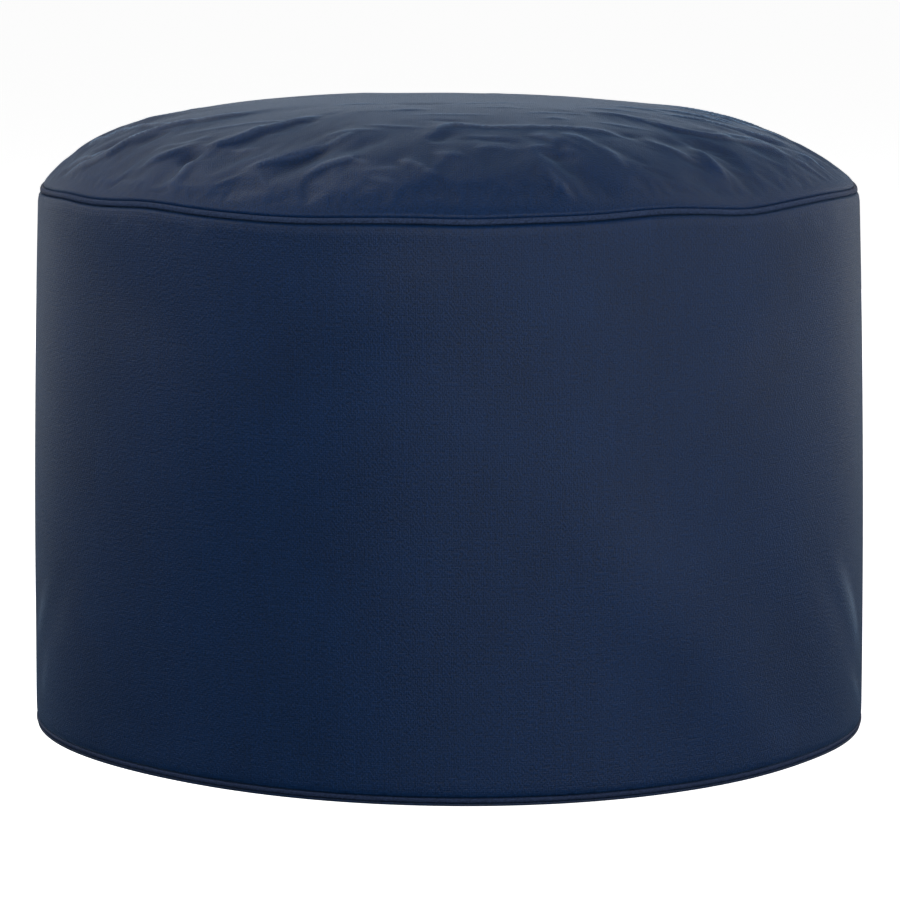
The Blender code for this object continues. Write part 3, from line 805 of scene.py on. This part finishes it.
def convexity(piece):
    """Write the convexity attribute: plus on the crests, minus in the hollows, which the cloth's tone takes
    as painted highlight and painted shade.
    """
    mesh = piece.data
    points = points_of(mesh)
    normals = points_of(mesh, "vertex_normals", "vector")
    ends = np.empty(len(mesh.edges) * 2, dtype=np.int32)
    mesh.edges.foreach_get("vertices", ends)
    ends = ends.reshape(-1, 2)
    count = np.bincount(ends.ravel(), minlength=len(points)).astype(float)

    def mean_of_neighbours(values):
        total = np.zeros_like(values)
        np.add.at(total, ends[:, 0], values[ends[:, 1]])
        np.add.at(total, ends[:, 1], values[ends[:, 0]])
        return total / count[:, None]

    convex_shading = np.einsum("ij,ij->i", points - mean_of_neighbours(points), normals)[:, None]
    for _ in range(3):
        convex_shading = 0.5 * convex_shading + 0.5 * mean_of_neighbours(convex_shading)
    spread = np.percentile(np.abs(convex_shading), 97)
    write_values(mesh, "convex_shading", np.clip(convex_shading[:, 0] / spread, -1.0, 1.0))


def finish_piece(piece, material, node):
    piece.data.materials.clear()
    piece.data.materials.append(material)
    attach(piece, BODY)
    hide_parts(node)


def set_inputs(node, values):
    for socket, value in values.items():
        node.inputs[socket].default_value = value


def add_node(tree, kind, inputs=(), **settings):
    """Add a node, set its attributes, and set its inputs or link them to outputs of other nodes."""
    node = tree.nodes.new(kind)
    for key, value in settings.items():
        setattr(node, key, value)
    for socket, value in dict(inputs).items():
        if isinstance(value, bpy.types.NodeSocket):
            tree.links.new(value, node.inputs[socket])
        else:
            node.inputs[socket].default_value = value
    return node


def woven_polyester(name, finish, colour, convex_shading_share=0.0, bias_cut=False):
    """Plain-woven polyester with a thin coat on its back, calendered smooth.

    The eye sees a soft satin sheen that brightens at glancing angles, a fine even weave and a
    slight mottle from thread to thread. A painted highlight along the crease crests makes it paler
    and shinier there, and where a piece asks for it, its tone is painted lighter on the crests and
    darker in the hollows.
    Cut on the bias, as for piping, its threads run slantwise and it is duller.
    """
    material = bpy.data.materials.new(name)
    material.use_nodes = True
    tree = material.node_tree
    gloss, sheen, turn = (CORD_GLOSS, 0.0, math.pi / 4) if bias_cut else (finish.gloss, finish.sheen, 0.0)

    def mapped(vector, **values):
        return add_node(tree, "ShaderNodeMapping", {"Vector": vector, **values}).outputs["Vector"]

    def noise(vector, **values):
        return add_node(tree, "ShaderNodeTexNoise", {"Vector": vector, **values}).outputs["Fac"]

    def calculate(operation, *terms):
        return add_node(tree, "ShaderNodeMath", enumerate(terms), operation=operation).outputs[0]

    def attribute(name):
        return add_node(tree, "ShaderNodeAttribute", attribute_name=name).outputs["Fac"]

    # One unit of the map below is one thread. Real threads lie 0.5 mm apart, which the
    # render can't show, so they are drawn at the coarser pitch that the finish gives
    place = add_node(tree, "ShaderNodeTexCoord").outputs
    threads = mapped(place["UV"], Scale=(1 / finish.thread_pitch,) * 3, Rotation=(0, 0, turn))
    across = add_node(tree, "ShaderNodeSeparateXYZ", {"Vector": threads}).outputs
    rounds = [
        calculate("ABSOLUTE", calculate("SINE", calculate("MULTIPLY", across[axis], math.pi)))
        for axis in "XY"
    ]
    over = add_node(tree, "ShaderNodeTexChecker", {"Scale": 1.0, "Vector": threads}).outputs["Fac"]
    weave = add_node(tree, "ShaderNodeMix", {0: over, 2: rounds[0], 3: rounds[1]}).outputs[0]

    # Mottle: single threads, short slubs that lie along the threads, and broad clouds of 60 mm
    streaks = noise(mapped(threads, Scale=(1.0, 0.06, 1.0)), Scale=0.55, Detail=2.0)
    grain = noise(mapped(threads, Scale=(1.0, 0.7, 1.0)), Scale=1.1, Detail=2.0, Roughness=0.6)
    clouds = noise(place["Object"], Scale=16.0, Detail=3.0)
    # Convexity paints the tone lighter on the crests, as highlight, and darker in the hollows, as shade
    convex_shading = attribute("convex_shading")
    # Painted highlight along the crease crests: the cloth turns paler there and gains sheen and gloss
    crest = attribute("crest")
    tone = TONE_LEVEL
    for part, share in ((streaks, 0.4), (grain, 2.0), (clouds, 0.4), (weave, 0.06), (convex_shading, convex_shading_share)):
        tone = calculate("MULTIPLY_ADD", part, share, tone)
    dyed = add_node(tree, "ShaderNodeHueSaturation", {"Color": (*linear(colour), 1.0), "Value": tone})
    # Paler colour mixed in along the painted highlight line
    glint_mix = {0: calculate("MULTIPLY", crest, finish.glint), 6: dyed.outputs["Color"]}
    glint_mix[7] = (*linear(CREST_GLINT_COLOUR), 1.0)
    swing = {"To Min": finish.roughness - ROUGHNESS_SWING, "To Max": finish.roughness + ROUGHNESS_SWING}
    relief = calculate("MULTIPLY_ADD", grain, GRAIN_RELIEF, weave)
    bump = {"Strength": 0.5, "Distance": WEAVE_DEPTH, "Height": relief}
    linked = {
        "Base Color": add_node(tree, "ShaderNodeMix", glint_mix, data_type="RGBA").outputs[2],
        "Sheen Weight": calculate("MULTIPLY_ADD", crest, CREST_SHEEN, sheen),
        "Specular IOR Level": calculate("MULTIPLY_ADD", crest, CREST_GLOSS, gloss),
        "Roughness": add_node(tree, "ShaderNodeMapRange", {"Value": grain, **swing}).outputs["Result"],
        "Normal": add_node(tree, "ShaderNodeBump", bump).outputs["Normal"],
    }
    shader = tree.nodes["Principled BSDF"]
    for socket, output in linked.items():
        tree.links.new(output, shader.inputs[socket])
    set_inputs(shader, {"Metallic": 0.0, "IOR": 1.5})
    set_inputs(shader, {"Sheen Roughness": 0.3, "Sheen Tint": (*linear(SHEEN_COLOUR), 1.0)})
    return material


def hex_setting(name, description, default):
    """A colour as an sRGB hex value."""
    return bpy.props.StringProperty(name=name, description=description, default=default)


def share_setting(name, description, default, highest=1.0):
    """A share from nought to the highest."""
    return bpy.props.FloatProperty(
        name=name, description=description, default=default, min=0.0, max=highest, subtype="FACTOR",
    )


def length_setting(name, description, default, highest=5.0):
    """A length in metres."""
    return bpy.props.FloatProperty(
        name=name, description=description, default=default, min=0.0, max=highest, precision=5,
        unit="LENGTH",
    )


class PoufFinish(bpy.types.PropertyGroup):
    """Colours and finish of the cloth."""

    cloth_colour: hex_setting("Cloth colour", "Hex value of the dyed cloth", "#022246")
    base_colour: hex_setting("Base colour", "Hex value of the base's cloth", "#021C3A")
    cord_colour: hex_setting("Piping colour", "Hex value of the top piping's cloth", "#2B3955")
    # Darker than the top piping's same cloth: a shaded copy, painted shade at the foot of the pouf
    low_cord_shaded_colour: hex_setting("Lower piping colour", "Hex value of the lower piping's cloth", "#232F49")
    roughness: share_setting("Roughness", "How matt the cloth is", 0.48)
    gloss: share_setting("Gloss", "Strength of the plain reflection", 0.24)
    sheen: share_setting("Sheen", "Brightness of the cloth at glancing angles", 0.15)
    # How pale the painted highlight along the crease crests is
    glint: share_setting("Crest wear", "How much paler the crests of the creases are", 0.05)
    thread_pitch: length_setting("Thread pitch", "Distance between drawn threads", 1.25 * MM, 4 * MM)


class PoufShape(bpy.types.PropertyGroup):
    """How the sewn pieces are shaped."""

    crispness: share_setting("Crispness", "How sharp the crests of the folds are", 0.75)
    fold_gain: share_setting("Fold height", "Share of the folds' full height", 0.32, 1.5)
    fold_width: share_setting("Fold width", "Share of the folds' full width", 0.9, 1.5)
    crease_gain: share_setting("Crease height", "Share of the creases' full height", 0.95, 2.0)
    crease_width: share_setting("Crease width", "Share of the creases' full width", 0.85, 1.5)
    slack: share_setting("Slack", "Share by which the top is cut wider than its crown", 0.01, 0.05)
    fill_pressure: bpy.props.FloatProperty(
        name="Fill pressure", description="How hard the fill presses on the top", default=2.0, min=0.0,
        max=10.0,
    )
    cord_ripple: length_setting(
        "Cord ripple", "How far stitches draw the lower piping's cloth in", 0.16 * MM, 0.3 * MM,
    )


class PoufStudio(bpy.types.PropertyGroup):
    """Camera and lights."""

    distance: length_setting("Camera distance", "From the middle of the pouf, along the floor", 2.6)
    height: length_setting("Camera height", "Above the floor", 0.539)
    tilt: bpy.props.FloatProperty(
        name="Camera tilt", description="How far the camera looks down", default=0.1434, subtype="ANGLE",
    )
    lens: bpy.props.FloatProperty(
        name="Lens", description="Focal length", default=172.76, unit="CAMERA",
    )
    light: share_setting("Light", "Share of the softboxes' full power", 1.0, 4.0)
    dim_room: share_setting("Room light", "Strength of the even light of the room", 0.01)


class POUF_OT_make_top(bpy.types.Operator):
    """Make the crowned top with its folds"""

    bl_idname = "pouf.make_top"
    bl_label = "Top"

    def execute(self, context):
        shape = context.scene.pouf_shape
        finish = context.scene.pouf_finish
        ring, place, faces = disc_rings(CROWN_RINGS)
        seat = arc((SEAM_RADIUS, SEAM_HEIGHT), CORD_SEAT_RADIUS, *CROWN_SEAT_ARC)
        radii = np.linspace(0.0, seat[0][0], PROFILE_STEPS)
        rises = CROWN_HEIGHT * (1.0 - (radii / SEAM_RADIUS) ** CROWN_POWER) ** CROWN_FULLNESS
        travel = travelled(np.stack([radii, rises], axis=1))

        def on_profile(steps):
            height = SEAM_HEIGHT + np.interp(steps, travel, rises)
            return np.interp(steps, travel, radii), np.maximum(height, seat[0][1])

        disc_travel = travel[-1] - RIM_REACH
        steps = disc_travel * ring / CROWN_RINGS
        radius, height = on_profile(steps)
        turn = place * math.tau
        rim_start = len(ring) - 6 * CROWN_RINGS
        turns = turn[rim_start:]
        rim_travel = np.linspace(disc_travel, travel[-1], RIM_ROWS + 1)[1:-1]
        rows = list(zip(*on_profile(rim_travel))) + seat
        rim = range(rim_start, len(ring))
        points = add_rows(circled(radius, turn, height), faces, rim, rows, turns)
        bend = math.radians(CROWN_SEAT_ARC[1] - CROWN_SEAT_ARC[0])
        seat_travel = travel[-1] + CORD_SEAT_RADIUS * np.linspace(0.0, bend, len(seat))
        steps = np.concatenate([steps, np.repeat(np.concatenate([rim_travel, seat_travel]), len(turns))])
        flat = circled(steps, np.arctan2(points[:, 1], points[:, 0]), steps)[:, :2]
        piece = cloth_mesh("top_cover", slump(swell_rim(fold_top(points, shape))), faces, flat)
        plan = piece.data.attributes.new("plan", "FLOAT_VECTOR", "POINT")
        plan.data.foreach_set("vector", points.astype(np.float32).ravel())
        settle_cloth(piece, shape)
        subdivide_once(piece)
        raise_creases(piece, shape)
        close_underside(piece, SEAM_HEIGHT + 0.5 * PIECE_GAP)
        convexity(piece)
        material = woven_polyester("woven_polyester_top", finish, finish.cloth_colour, convex_shading_share=0.25)
        finish_piece(piece, material, "top_panel")
        return {"FINISHED"}


class POUF_OT_make_side(bpy.types.Operator):
    """Make the side band"""

    bl_idname = "pouf.make_side"
    bl_label = "Side band"

    def execute(self, context):
        finish = context.scene.pouf_finish
        top_seat = arc((SEAM_RADIUS, SEAM_HEIGHT), CORD_SEAT_RADIUS, *SHOULDER_SEAT_ARC)
        shoulder = [(WALL_TOP_RADIUS - inset, SEAM_HEIGHT - drop) for inset, drop in SHOULDER_ROLL]
        foot = [(WALL_FOOT_RADIUS - inset, height) for inset, height in FOOT_ROLL]
        foot_seat = arc((BOTTOM_CORD_CENTRE, BOTTOM_CORD_HEIGHT), FOOT_SEAT_RADIUS, *FOOT_SEAT_ARC)
        top = shoulder[-1][1]
        low = foot[0][1]
        mean_radius = 0.5 * (WALL_TOP_RADIUS + WALL_FOOT_RADIUS)

        def wall(height):
            share = (top - height) / (top - low)
            straight = WALL_TOP_RADIUS + share * (WALL_FOOT_RADIUS - WALL_TOP_RADIUS)
            return straight + 4.0 * share * (1.0 - share) * (WALL_MIDDLE_RADIUS - mean_radius)

        ends = (top - WALL_END_REACH, low + WALL_END_REACH)
        heights = np.concatenate([
            np.linspace(top, ends[0], WALL_END_ROWS, endpoint=False)[1:],
            np.linspace(ends[0], ends[1], WALL_MIDDLE_ROWS, endpoint=False),
            np.linspace(ends[1], low, WALL_END_ROWS, endpoint=False),
        ])
        middle = [(wall(height), height) for height in heights]
        under = BASE_THICKNESS + PIECE_GAP
        inner = BOTTOM_CORD_CENTRE - 2.0 * BOTTOM_CORD_RADIUS
        rows = top_seat + even_points(shoulder, SHOULDER_ROWS) + middle
        rows += even_points(foot, FOOT_ROWS) + foot_seat + [(inner, under)]
        turns = np.linspace(0.0, math.tau, WALL_TURN_STEPS, endpoint=False)
        centre = (0.0, 0.0, SEAM_HEIGHT - 0.5 * PIECE_GAP)
        first = circled(rows[0][0], turns, np.full(WALL_TURN_STEPS, rows[0][1]))
        points = np.vstack([centre, first])
        rim = range(1, 1 + WALL_TURN_STEPS)
        faces = [(0, 1 + step, 1 + (step + 1) % WALL_TURN_STEPS) for step in range(WALL_TURN_STEPS)]
        points = add_rows(points, faces, rim, rows[1:], turns, under)
        angle = np.arctan2(points[:, 1], points[:, 0])
        from_join = (angle - math.radians(BAND_JOIN_ANGLE)) % math.tau
        flat = np.stack([from_join * WALL_MIDDLE_RADIUS, points[:, 2]], axis=1)
        # Painted highlight line along the wall's creases, for the material
        crest = wall_relief(WALL_CREASES, np.degrees(angle), points[:, 2]) / FULL_WALL_CREST
        points = slump(dent_wall(points))
        piece = cloth_mesh("side_cover", points, faces, flat, math.tau * WALL_MIDDLE_RADIUS)
        write_values(piece.data, "crest", crest)
        convexity(piece)
        material = woven_polyester("woven_polyester_side", finish, finish.cloth_colour, convex_shading_share=0.05)
        finish_piece(piece, material, "side_panel")
        return {"FINISHED"}


class POUF_OT_make_base(bpy.types.Operator):
    """Make the flat base"""

    bl_idname = "pouf.make_base"
    bl_label = "Base"

    def execute(self, context):
        finish = context.scene.pouf_finish
        ring, place, faces = disc_rings(BASE_RINGS)
        edge = BASE_RADIUS - BASE_EDGE_ROLL
        turn = place * math.tau
        points = circled(edge * ring / BASE_RINGS, turn, np.zeros(len(turn)))
        rim_start = len(points) - 6 * BASE_RINGS
        rim = range(rim_start, len(points))
        roll = arc((edge, BASE_EDGE_ROLL), BASE_EDGE_ROLL, -90, 0, 3)[1:]
        roll += arc((edge, BASE_THICKNESS - BASE_EDGE_ROLL), BASE_EDGE_ROLL, 0, 90, 3)
        points = add_rows(points, faces, rim, roll, turn[rim_start:], BASE_THICKNESS)
        faces = [tuple(reversed(face)) for face in faces]
        piece = cloth_mesh("base_cover", slump(points), faces, points[:, :2].copy())
        material = woven_polyester("woven_polyester_base", finish, finish.base_colour)
        finish_piece(piece, material, "base_panel")
        return {"FINISHED"}


class POUF_OT_make_pipings(bpy.types.Operator):
    """Make the piping in the top seam and in the bottom seam"""

    bl_idname = "pouf.make_pipings"
    bl_label = "Pipings"

    def execute(self, context):
        finish = context.scene.pouf_finish
        bottom = (BOTTOM_CORD_CENTRE, BOTTOM_CORD_HEIGHT, BOTTOM_CORD_RADIUS)
        cords = (
            ("top", SEAM_RADIUS, SEAM_HEIGHT, TOP_CORD_RADIUS, finish.cord_colour, 0.0),
            # The lower piping takes the darker colour that paints the shade at the foot
            ("bottom", *bottom, finish.low_cord_shaded_colour, context.scene.pouf_shape.cord_ripple),
        )
        for name, centre, height, thickness, colour, ripple in cords:
            bpy.ops.object.select_all(action="DESELECT")
            bpy.ops.mesh.primitive_torus_add(
                location=(0.0, 0.0, height), major_radius=centre, minor_radius=thickness,
                major_segments=CORD_TURN_STEPS, minor_segments=CORD_SIDES, generate_uvs=True,
            )
            piece = context.object
            piece.name = f"{name}_cord"
            bpy.ops.object.transform_apply(location=True, rotation=True, scale=True)
            mesh = piece.data
            points = slump(square_cord(points_of(mesh), centre, height, ripple))
            mesh.vertices.foreach_set("co", points.ravel())
            flat = np.empty(len(mesh.loops) * 2)
            mesh.uv_layers.active.data.foreach_get("uv", flat)
            flat = flat.reshape(-1, 2) * (math.tau * centre, math.tau * thickness)
            mesh.uv_layers.active.data.foreach_set("uv", flat.ravel())
            bpy.ops.object.shade_smooth()
            material = woven_polyester(f"bias_cut_polyester_{name}_piping", finish, colour, bias_cut=True)
            finish_piece(piece, material, f"{name}_piping")
        return {"FINISHED"}


def square_cord(points, centre, height, ripple):
    """Flatten the four sides of a round cord a little, as its stuffed strip of cloth lies.

    The stitches draw the cloth in by up to the ripple, more at some places than at others.
    """
    radius, angle = polar(points)
    out = radius - centre
    up = points[:, 2] - height
    thickness = np.hypot(out, up)
    squared = (np.abs(out) ** CORD_SQUARENESS + np.abs(up) ** CORD_SQUARENESS) ** (1.0 / CORD_SQUARENESS)
    turn = np.radians(angle)
    pull = 0.5 + sum(size * np.sin(count * turn + start) for size, count, start in PULL_WAVES)
    drawn_in = ripple * pull * (0.5 - 0.5 * np.cos(CORD_STITCHES * turn))
    swell = (thickness - drawn_in) / squared
    return moved(points, (centre + out * swell) / radius, height + up * swell)


def area_light(name, place, target, power):
    """A square softbox at a place, turned to face a target."""
    light = bpy.data.lights.new(name, "AREA")
    light.shape = "SQUARE"
    light.size = SOFTBOX_SIZE
    light.energy = power
    lamp = bpy.data.objects.new(name, light)
    bpy.context.scene.collection.objects.link(lamp)
    back = np.array(place) - np.array(target)
    lamp.location = place
    flat = math.hypot(back[0], back[1])
    lamp.rotation_euler = (math.atan2(flat, back[2]), 0.0, math.atan2(back[0], -back[1]))
    return lamp


class POUF_OT_make_stage(bpy.types.Operator):
    """Make the pale floor, the lights and the camera"""

    bl_idname = "pouf.make_stage"
    bl_label = "Studio"

    def execute(self, context):
        studio = context.scene.pouf_studio
        bpy.ops.object.select_all(action="DESELECT")
        bpy.ops.mesh.primitive_circle_add(vertices=96, radius=FLOOR_RADIUS, fill_type="NGON")
        floor = context.object
        floor.name = "floor"
        material = bpy.data.materials.new("white_acrylic_floor")
        material.use_nodes = True
        shader = material.node_tree.nodes["Principled BSDF"]
        set_inputs(shader, {"Base Color": (0.9, 0.9, 0.9, 1.0), "Roughness": 0.6})
        set_inputs(shader, {"Emission Color": (1.0, 1.0, 1.0, 1.0), "Emission Strength": FLOOR_GLOW})
        floor.data.materials.append(material)
        floor.visible_diffuse = False
        floor.visible_glossy = False

        world = bpy.data.worlds.new("pale_studio")
        world.use_nodes = True
        context.scene.world = world
        background = world.node_tree.nodes["Background"]
        set_inputs(background, {"Color": (1.0, 1.0, 1.0, 1.0), "Strength": studio.dim_room})

        for box in SOFTBOXES:
            turn = math.radians(box.turn)
            rise = math.radians(box.rise)
            away = SOFTBOX_DISTANCE * math.cos(rise)
            height = LIT_HEIGHT + SOFTBOX_DISTANCE * math.sin(rise)
            place = (away * math.sin(turn), -away * math.cos(turn), height)
            target = (0.0, 0.0, LIT_HEIGHT)
            lamp = area_light(f"{box.name}_softbox", place, target, box.power * studio.light)
            lamp.visible_camera = False

        camera_data = bpy.data.cameras.new("camera")
        camera_data.lens = studio.lens
        camera_data.sensor_width = 36.0
        camera = bpy.data.objects.new("camera", camera_data)
        context.scene.collection.objects.link(camera)
        camera.location = (CAMERA_SIDE, -studio.distance, studio.height)
        camera.rotation_euler = (math.pi / 2 - studio.tilt, 0.0, 0.0)
        context.scene.camera = camera
        context.scene.view_settings.view_transform = "Standard"
        return {"FINISHED"}


class POUF_PT_panel(bpy.types.Panel):
    """The pouf's settings and pieces"""

    bl_idname = "POUF_PT_panel"
    bl_label = "Pouf"
    bl_space_type = "VIEW_3D"
    bl_region_type = "UI"
    bl_category = "Pouf"

    def draw(self, context):
        layout = self.layout
        for group in (context.scene.pouf_finish, context.scene.pouf_shape, context.scene.pouf_studio):
            column = layout.column(align=True)
            for name in group.bl_rna.properties.keys():
                if name not in ("rna_type", "name"):
                    column.prop(group, name)
        for operator in MAKERS:
            layout.operator(operator.bl_idname)


MAKERS = (POUF_OT_make_top, POUF_OT_make_side, POUF_OT_make_base, POUF_OT_make_pipings, POUF_OT_make_stage)
CLASSES = (PoufFinish, PoufShape, PoufStudio, *MAKERS, POUF_PT_panel)


def register():
    for item in CLASSES:
        bpy.utils.register_class(item)
    bpy.types.Scene.pouf_finish = bpy.props.PointerProperty(type=PoufFinish)
    bpy.types.Scene.pouf_shape = bpy.props.PointerProperty(type=PoufShape)
    bpy.types.Scene.pouf_studio = bpy.props.PointerProperty(type=PoufStudio)


def unregister():
    del bpy.types.Scene.pouf_finish
    del bpy.types.Scene.pouf_shape
    del bpy.types.Scene.pouf_studio
    for item in reversed(CLASSES):
        bpy.utils.unregister_class(item)


def main():
    register()
    bpy.ops.pouf.make_top()
    bpy.ops.pouf.make_side()
    bpy.ops.pouf.make_base()
    bpy.ops.pouf.make_pipings()
    bpy.ops.pouf.make_stage()


if __name__ == "__main__":
    main()
